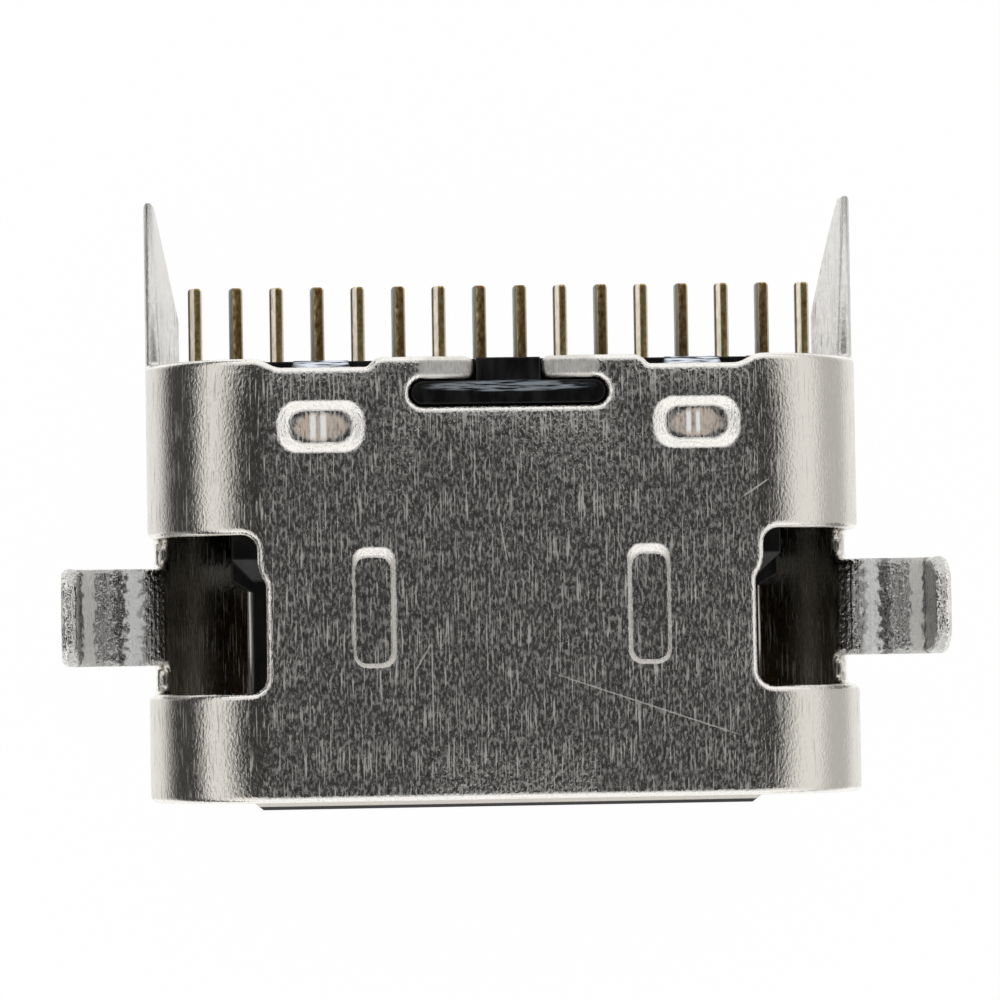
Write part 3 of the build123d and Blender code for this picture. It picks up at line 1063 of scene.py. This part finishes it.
    def outline(self) -> list[Corner]:
        """Give the whole outline of the flat sheet, with the dovetail at its two ends.

        Returns:
            Its corners in order.
        """
        half_gap = self.seam_gap / 2
        right, left = self.seam_u(self.seam_x + half_gap, 1), -self.seam_u(self.seam_x - half_gap, -1)
        key_right = self.seam_u(self.seam_x + self.key_reach + half_gap, 1)
        key_left = -self.seam_u(self.seam_x + self.key_reach - half_gap, -1)
        neck, head = self.key_neck / 2, self.key_head / 2
        return [
            Corner(left, self.mouth_y),
            Corner(right, self.mouth_y),
            Corner(right, -neck - half_gap),
            Corner(key_right, -head - half_gap),
            Corner(key_right, head + half_gap),
            Corner(right, neck + half_gap),
            Corner(right, self.rear_y),
            *self.rear_edge(),
            *mirrored_run(self.rear_edge()),
            Corner(left, self.rear_y),
            Corner(left, neck - half_gap),
            Corner(key_left, head - half_gap),
            Corner(key_left, half_gap - head),
            Corner(left, half_gap - neck),
        ]

    def window(self) -> list[Corner]:
        """Give the right window in the flat sheet, with the leg strip standing into it.

        Returns:
            Its corners in order.
        """
        edge = self.socket_width / 2 - self.window_reach
        depth = self.seat_bend + self.sheet
        low = self.around(pi / 2 + asin(depth / self.radius))
        rear, half = self.window_length / 2, self.leg_width / 2
        tip = self.root_u - self.leg_run
        shoulder, flank = tip + self.leg_tip_chamfer_z, half - self.leg_tip_chamfer_y
        return [
            Corner(edge, -rear, self.window_corner),
            Corner(low, -rear, self.relief_corner),
            Corner(low, -half, self.leg_root),
            Corner(shoulder, -half, self.corner),
            Corner(tip, -flank, self.corner),
            Corner(tip, flank, self.corner),
            Corner(shoulder, half, self.corner),
            Corner(low, half, self.leg_root),
            Corner(low, rear, self.relief_corner),
            Corner(edge + self.window_step, rear, self.window_corner),
            Corner(edge + self.window_step, self.window_step_y + self.window_step_length, self.corner),
            Corner(edge, self.window_step_y, self.step_corner),
        ]

    def leg_place(self, run: float) -> tuple[Vector, Vector]:
        """Follow the middle of the leg's sheet from its root to its tip.

        Args:
            run: Length along the leg from its root.

        Returns:
            The place in X and Z, and the direction that the sheet's outer face looks in there.
        """
        middle = Vector((self.side_x, self.mid_z))
        out = Vector((cos(self.root_turn), -sin(self.root_turn)))
        if run < self.outward_run:
            heading = pi / 2 - self.root_turn - run / self.seat_radius
            facing = Vector((sin(heading), -cos(heading)))
            bend = middle + out * (self.mid_radius + self.seat_radius)
            return bend - facing * self.seat_radius, facing
        run -= self.outward_run
        seat_z = self.mid_z - self.sheet / 2
        if run < self.seat_run:
            return Vector((self.seat_start_x + run, seat_z)), Vector((0, -1))
        run -= self.seat_run
        if run < self.lift_run:
            heading = run / self.lift_radius
            facing = Vector((sin(heading), -cos(heading)))
            bend = Vector((self.seat_end_x, seat_z + self.lift_radius))
            return bend + facing * self.lift_radius, facing
        run -= self.lift_run
        return Vector((self.leg_x, seat_z + self.lift_radius + run)), Vector((1, 0))

    def bend(self, point: Vector) -> Vector:
        """Fold a point of the flat sheet: round the sides, out along the legs, down at the ears.

        Args:
            point: Place on the flat sheet, with its depth below the outer face as Z.

        Returns:
            The place on the folded shell.
        """
        side = 1 if point.x >= 0 else -1
        u, v, depth = abs(point.x), point.y, point.z
        beyond = (v - self.rear_y - self.arm_full_length) / self.arm_taper_length
        depth *= 1 - max(beyond, 0.0) * (1 - self.arm_tip_share)
        in_window = abs(v) < self.leg_width / 2 + self.leg_root
        if in_window and self.root_u - self.leg_run - NEAR_MM < u < self.root_u:
            place, facing = self.leg_place(self.root_u - u)
            place = place + facing * (depth + self.sheet / 2)
            return Vector((side * place.x, v, place.y))
        if u <= self.side_x:
            height = self.top_z + depth
            if v > self.rear_y - self.ear_length - NEAR_MM and u < self.ear_hinge:
                height -= self.ear_drop * self.ear_share(u)
            return Vector((side * u, v, height))
        turn = (u - self.side_x) / self.radius
        if turn >= pi:
            return Vector((side * (self.side_x - (u - self.around(pi))), v, -depth))
        reach = self.radius + depth
        return Vector((side * (self.side_x + reach * sin(turn)), v, self.mid_z + reach * cos(turn)))

    def ear_share(self, u: float) -> float:
        """Give how far an ear is down at a place: curled near its hinge, straight beyond.

        Args:
            u: The place on the flat sheet.

        Returns:
            The share of its drop, from 0 at its hinge to 1 at its free end.
        """
        curl = self.ear_curl
        share = (self.ear_hinge - u) / (self.ear_hinge - self.slot_neck / 2)
        if share < curl:
            return share * share / (2 * curl * (1 - curl / 2))
        return (share - curl / 2) / (1 - curl / 2)

    def scores(self) -> list[float]:
        """Give the lines where the sheet bends, on both sides.

        Returns:
            Their places along u.
        """
        turns, steps = self.side_steps, self.bend_steps
        places = [self.side_x + self.radius * pi * step / turns for step in range(turns + 1)]
        start = self.root_u
        for run in (self.outward_run, self.lift_run):
            places += [start - run * step / steps for step in range(steps + 1)]
            start -= self.outward_run + self.seat_run
        reach = self.ear_hinge - self.slot_neck / 2
        places += [self.ear_hinge - reach * step / steps for step in range(steps)]
        return sorted(places + [-place for place in places])

    def build(self, material: bpy.types.Material) -> bpy.types.Object:
        """Cut, press and fold the sheet.

        Args:
            material: The steel.

        Returns:
            The piece.
        """
        blank = Blank(self.sheet, self.outer_roll, self.inner_roll)
        blank.cut(self.outline())
        blank.cut(self.window())
        blank.cut(mirrored_run(self.window()))
        dimple_y = self.rear_y - self.dimple_from_rear
        for side in (-1, 1):
            centre = (side * self.dimple_x, dimple_y)
            blank.press_slot(Pressing.DIMPLE, centre, self.dimple_size, self.dimple_corner)
            centre = (side * self.bump_x, self.bump_y)
            blank.press_slot(Pressing.BUMP, centre, self.bump_size, self.bump_corner)
        blank.thicken()
        blank.press(Pressing.DIMPLE, self.dimple_flank, self.dimple_depth)
        blank.press(Pressing.BUMP, self.bump_flank, self.bump_depth, self.bump_shift)
        blank.score(self.scores(), ALONG_U)
        blank.chart()
        blank.fold(self.bend)
        return finish_piece(blank.mesh, "folded_shell", material, "shell_steel", "shell")


@dataclass
class ContactRow:
    """The sixteen stamped contacts, eight on each face of the tongue."""

    mid_z: float
    tongue_thickness: float = 0.70
    pitch: float = 0.50
    tail_width: float = 0.17
    tail_tip_y: float = 4.03
    thickness: float = 0.12
    front_y: float = -1.92
    blade_width: float = 0.25
    spread_front_y: float = 0.72
    spread_rear_y: float = 2.02
    joggle_front_y: float = 2.22
    joggle_rear_y: float = 2.58
    tongue_places: tuple[float, ...] = (-5.5, -2.5, -1.5, -0.5, 0.5, 1.5, 2.5, 5.5)
    crease: float = 0.008
    roll: float = 0.02
    blade_corner: float = 0.05
    tail_corner: float = 0.045
    joggle_steps: int = 8
    upper_slope: tuple[float, float] = (-0.01, 0.5)
    lower_slope: tuple[float, float] = (-0.035, 1.0)

    def outline(self, tongue_x: float, tail_x: float) -> list[Corner]:
        """Give one contact seen from above: blade, sideways run and tail.

        Args:
            tongue_x: Middle of its blade.
            tail_x: Middle of its tail.

        Returns:
            Its corners in order.
        """
        blade, tail = self.blade_width / 2, self.tail_width / 2
        run = Vector((tail_x - tongue_x, self.spread_rear_y - self.spread_front_y))
        lean = tail * tan(abs(run.angle(Vector((0, 1)))) / 2)
        lean = lean if tail_x > tongue_x else -lean
        return [
            Corner(tongue_x - blade, self.front_y, self.blade_corner),
            Corner(tongue_x + blade, self.front_y, self.blade_corner),
            Corner(tongue_x + blade, self.spread_front_y - self.tail_width),
            Corner(tongue_x + tail, self.spread_front_y - lean),
            Corner(tail_x + tail, self.spread_rear_y - lean),
            Corner(tail_x + tail, self.tail_tip_y, self.tail_corner),
            Corner(tail_x - tail, self.tail_tip_y, self.tail_corner),
            Corner(tail_x - tail, self.spread_rear_y + lean),
            Corner(tongue_x - tail, self.spread_front_y + lean),
            Corner(tongue_x - blade, self.spread_front_y - self.tail_width),
        ]

    def build_one(
        self, number: int, tongue_x: float, tail_x: float, side: int, material: bpy.types.Material
    ) -> bpy.types.Object:
        """Cut one contact and step it from the tongue to the board seat.

        Args:
            number: Its number from the left, at the tails.
            tongue_x: Middle of its blade.
            tail_x: Middle of its tail.
            side: 1 for the row on the slotted side, -1 for the other.
            material: The plating.

        Returns:
            The piece.
        """
        blank = Blank(self.thickness, self.roll, self.roll, rim_steps=3)
        blank.cut(self.outline(tongue_x, tail_x))
        blank.thicken()
        steps = self.joggle_steps
        run = self.joggle_rear_y - self.joggle_front_y
        start, slope = self.upper_slope if side > 0 else self.lower_slope
        blank.score([self.joggle_front_y + run * step / steps for step in range(steps + 1)], ALONG_V)
        blank.score([tail_x + start - soft for soft in (0.0, self.crease)], ALONG_U)
        blade_top = self.mid_z + side * self.tongue_thickness / 2
        blade_top += 0.0 if side > 0 else self.thickness

        def step_down(point: Vector) -> Vector:
            """Move a point from the tongue's level to the seat's, and slope the tail's left side.

            Args:
                point: Place on the flat contact.

            Returns:
                The place on the stepped one.
            """
            share = min(max((point.y - self.joggle_front_y) / run, 0.0), 1.0)
            share = share * share * (3 - 2 * share)
            level = point.z + blade_top + (self.mid_z - blade_top) * share
            aside = max(tail_x + start - point.x, 0.0) if point.z > -self.thickness / 2 else 0.0
            return Vector((point.x, point.y, level - aside * slope * share))

        blank.chart(tail_x)
        blank.fold(step_down)
        node = f"contact_{number:02d}"
        return finish_piece(blank.mesh, f"plated_{node}", material, "contact_gold", node)

    def build(self, upper: bpy.types.Material, lower: bpy.types.Material) -> list[bpy.types.Object]:
        """Build every contact in the order of its tail, from left to right.

        The outer tail of each pair belongs to the row on the slotted side.

        Args:
            upper: The plating of that row.
            lower: The plating of the other row.

        Returns:
            The pieces.
        """
        pieces = []
        first = -(2 * len(self.tongue_places) - 1) / 2
        for place, pitches in enumerate(self.tongue_places):
            for row in (0, 1):
                side = 1 if (row == 0) == (pitches < 0) else -1
                tail_x = (first + 2 * place + row) * self.pitch
                number = 2 * place + row + 1
                plating = upper if side > 0 else lower
                pieces.append(self.build_one(number, pitches * self.pitch, tail_x, side, plating))
        return pieces


@dataclass
class Plate:
    """The steel plate between the two rows, whose side edges show through the windows."""

    mid_z: float
    thickness: float = 0.15
    edge_x: float = 3.165
    front_x: float = 3.00
    front_y: float = -2.10
    rear_y: float = 1.60
    waist_front_y: float = -1.00
    shoulder_rear_y: float = -1.10
    corner: float = 0.1
    roll: float = 0.06

    def build(self, material: bpy.types.Material) -> bpy.types.Object:
        """Cut the plate with its rims.

        Args:
            material: The steel.

        Returns:
            The piece.
        """
        right = [
            Corner(self.front_x, self.front_y, self.corner),
            Corner(self.front_x, self.shoulder_rear_y),
            Corner(self.edge_x, self.waist_front_y),
            Corner(self.edge_x, self.rear_y, self.corner),
        ]
        blank = Blank(self.thickness, self.roll, self.roll)
        blank.cut(right + mirrored_run(right))
        blank.thicken()
        lift = Vector((0, 0, self.mid_z + self.thickness / 2))
        blank.fold(lambda point: point + lift)
        return finish_piece(blank.mesh, "tongue_plate", material, "plate_steel", "mid_plate")


@dataclass(frozen=True)
class Card:
    """A card that lies on the floor beside the part and is bent up at its far side.

    Its strength falls from 1 at its near edge to its own value at full_x, in millimetres. It is painted
    shade: it stands for the unlit space beside the pale floor.
    """

    name: str
    near_x: float
    full_x: float
    far_x: float
    height: float
    strength: float


@dataclass
class Studio:
    """Pale floor, soft light and the camera of the photograph.

    Lengths are in millimetres. The tent's light falls off between two shares of the opening's reach.
    """

    scale_px_per_mm: float = 83.15
    picture_px: float = 1000.0
    middle_px: tuple[float, float] = (512.5, 610.0)
    roll_deg: float = 0.94
    left_deg: float = 3.69
    mouth_deg: float = 2.05
    distance_mm: float = 61.7
    sensor_mm: float = 36.0
    near_limit: float = 1.0
    opening: tuple[float, float] = (0.77, 0.56)
    opening_x: float = 0.02
    opening_strength: float = 0.045
    opening_edge: tuple[float, float] = (0.66, 1.02)
    any_height: float = 1e6
    floor_reach: float = 400.0
    floor_drop: float = 0.02
    floor_glow: float = 0.985
    card_lift: float = 0.005
    card_reach: float = 40.0
    cards: tuple[Card, ...] = (
        Card("dark_card", -6.0, -11.0, -12.5, 6.2, 0.06),
        Card("grey_card", 6.8, 8.6, 12.5, 4.0, 0.61),
    )

    def camera(self, near_z: float) -> None:
        """Place the camera over the part, with the photograph's roll, lean and framing.

        Args:
            near_z: Height of the wall that is nearest to it.
        """
        roll = radians(self.roll_deg)
        away = (self.picture_px / 2 - self.middle_px[0], self.picture_px / 2 - self.middle_px[1])
        x = (away[0] * cos(roll) - away[1] * sin(roll)) / self.scale_px_per_mm
        y = -(away[0] * sin(roll) + away[1] * cos(roll)) / self.scale_px_per_mm
        target = Vector((x, y, near_z)) * MM
        back = Vector((-tan(radians(self.left_deg)), -tan(radians(self.mouth_deg)), 1)).normalized()
        data = bpy.data.cameras.new("camera")
        data.sensor_width = self.sensor_mm
        data.lens = self.sensor_mm * self.distance_mm * self.scale_px_per_mm / self.picture_px
        data.clip_start = self.near_limit * MM
        camera = bpy.data.objects.new("camera", data)
        bpy.context.scene.collection.objects.link(camera)
        turned = Vector((sin(roll), cos(roll), 0))
        right = turned.cross(back).normalized()
        up = back.cross(right)
        axes = Matrix((right, up, back)).transposed().to_4x4()
        camera.matrix_world = Matrix.Translation(target + back * self.distance_mm * MM) @ axes
        bpy.context.scene.camera = camera

    def world(self) -> None:
        """Light the part from a white tent, with the dark round the camera drawn out across the part."""
        world = bpy.data.worlds.new("studio")
        bpy.context.scene.world = world
        world.use_nodes = True
        tree = world.node_tree
        direction = add_node(tree, "TexCoord").outputs["Generated"]
        opening = add_node(
            tree,
            "Mapping",
            {
                "Vector": direction,
                "Location": (self.opening_x, 0, 0),
                "Scale": (*self.opening, self.any_height),
            },
            vector_type="TEXTURE",
        )
        reach = add_node(tree, "VectorMath", {0: opening.outputs[0]}, operation="LENGTH").outputs["Value"]
        low, high = self.opening_edge
        inputs = {0: reach, 1: low, 2: high, 3: self.opening_strength, 4: 1.0}
        tent = add_node(tree, "MapRange", inputs, **SMOOTH).outputs[0]
        path = add_node(tree, "LightPath")
        seen = add_node(tree, "Mix", {"Factor": path.outputs["Is Camera Ray"], "A": tent, "B": 1.0})
        background = tree.nodes["Background"]
        background.inputs["Color"].default_value = (1, 1, 1, 1)
        tree.links.new(seen.outputs[0], background.inputs["Strength"])

    def floor(self) -> None:
        """Lay a pale floor that keeps the shadow under the part."""
        mesh = bmesh.new()
        bmesh.ops.create_grid(mesh, x_segments=1, y_segments=1, size=self.floor_reach)
        bmesh.ops.translate(mesh, vec=(0, 0, -self.floor_drop), verts=mesh.verts[:])
        material, tree, shader = new_material("white_paper_matte")
        shader.inputs["Base Color"].default_value = linear("#f7f7f7")
        shader.inputs["Roughness"].default_value = 0.9
        glow = add_node(tree, "Emission", {"Color": (1, 1, 1, 1), "Strength": 1.0})
        path = add_node(tree, "LightPath")
        seen = path.outputs["Is Camera Ray"]
        for name in ("Is Glossy Ray", "Is Transmission Ray"):
            seen = add_node(tree, "Math", {0: seen, 1: path.outputs[name]}, operation="MAXIMUM").outputs[0]
        inputs = {0: seen, 1: 0.0, 2: 1.0, 3: 0.0, 4: self.floor_glow}
        share = add_node(tree, "MapRange", inputs, **SMOOTH).outputs[0]
        mixed = add_node(tree, "MixShader", {0: share, 1: shader.outputs[0], 2: glow.outputs[0]})
        tree.links.new(mixed.outputs[0], tree.nodes["Material Output"].inputs["Surface"])
        make_object(mesh, "floor", material)

    def card(self, card: Card) -> None:
        """Stand a card on the floor beside the part, which only shiny surfaces show, as painted shade in
        their reflections.

        Args:
            card: The card's sizes.
        """
        mesh = bmesh.new()
        low = self.card_lift
        places = ((card.near_x, low), (card.far_x, low), (card.far_x, card.height))
        verts = [mesh.verts.new((x, -self.card_reach, z)) for x, z in places]
        edges = [mesh.edges.new(pair) for pair in zip(verts, verts[1:])]
        made = bmesh.ops.extrude_edge_only(mesh, edges=edges)
        drawn = [item for item in made["geom"] if isinstance(item, bmesh.types.BMVert)]
        bmesh.ops.translate(mesh, vec=(0, 2 * self.card_reach, 0), verts=drawn)
        # The card's glow falls off across it: painted shade for reflections.
        material, tree, shader = new_material(f"{card.name}_painted")
        tree.nodes.remove(shader)
        place = add_node(tree, "SeparateXYZ", {0: add_node(tree, "TexCoord").outputs["Object"]}).outputs[0]
        inputs = {0: place, 1: card.near_x * MM, 2: card.full_x * MM, 3: 1.0, 4: card.strength}
        strength = add_node(tree, "MapRange", inputs, **SMOOTH).outputs[0]
        glow = add_node(tree, "Emission", {"Color": (1, 1, 1, 1), "Strength": strength})
        tree.links.new(glow.outputs[0], tree.nodes["Material Output"].inputs["Surface"])
        thing = make_object(mesh, card.name, material)
        thing.visible_camera = False
        thing.visible_diffuse = False
        thing.visible_transmission = False
        thing.visible_shadow = False

    def build(self, near_z: float) -> None:
        """Set up the studio.

        Args:
            near_z: Height of the wall that is nearest to the camera.
        """
        self.camera(near_z)
        self.world()
        self.floor()
        for card in self.cards:
            self.card(card)
        bpy.context.scene.view_settings.view_transform = "Standard"


def main() -> None:
    """Build the part and its studio."""
    logging.basicConfig(level=logging.INFO)
    shell = Shell()
    shell.build(RolledSteel().build())
    # Strips along the tails' edges: painted highlights and painted shade, a dark line and pale strips on
    # the upper row, a grey strip and a pale one on the lower.
    upper_edge_glints = ((-0.09, -0.062, "#7a746c"), (-0.062, -0.008, "#fff3dc"), (0.06, 0.09, "#f0e6d2"))
    grey = ((-0.09, -0.035, "#abaca4"), (0.062, 0.09, "#dccdb6"))
    olive = GoldPlating("gold_plated_copper_olive", "#75602f", "#b8a06a", "#e6d8aa", 0.38, upper_edge_glints)
    # The lower row gets a darker copy of the same gold plating: painted shade.
    brown = GoldPlating("gold_plated_copper_brown", "#5f441f", "#a08252", "#d8bf8c", 0.40, grey)
    ContactRow(shell.mid_z).build(olive.build(), brown.build())
    Plate(shell.mid_z).build(StampedSteel().build())
    black = MouldedBlack().build()
    for name in ("housing", "upper_carrier", "lower_carrier"):
        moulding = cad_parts[name]
        moulding.data.materials.clear()
        moulding.data.materials.append(black)
    Studio().build(shell.top_z)


if __name__ == "__main__":
    main()
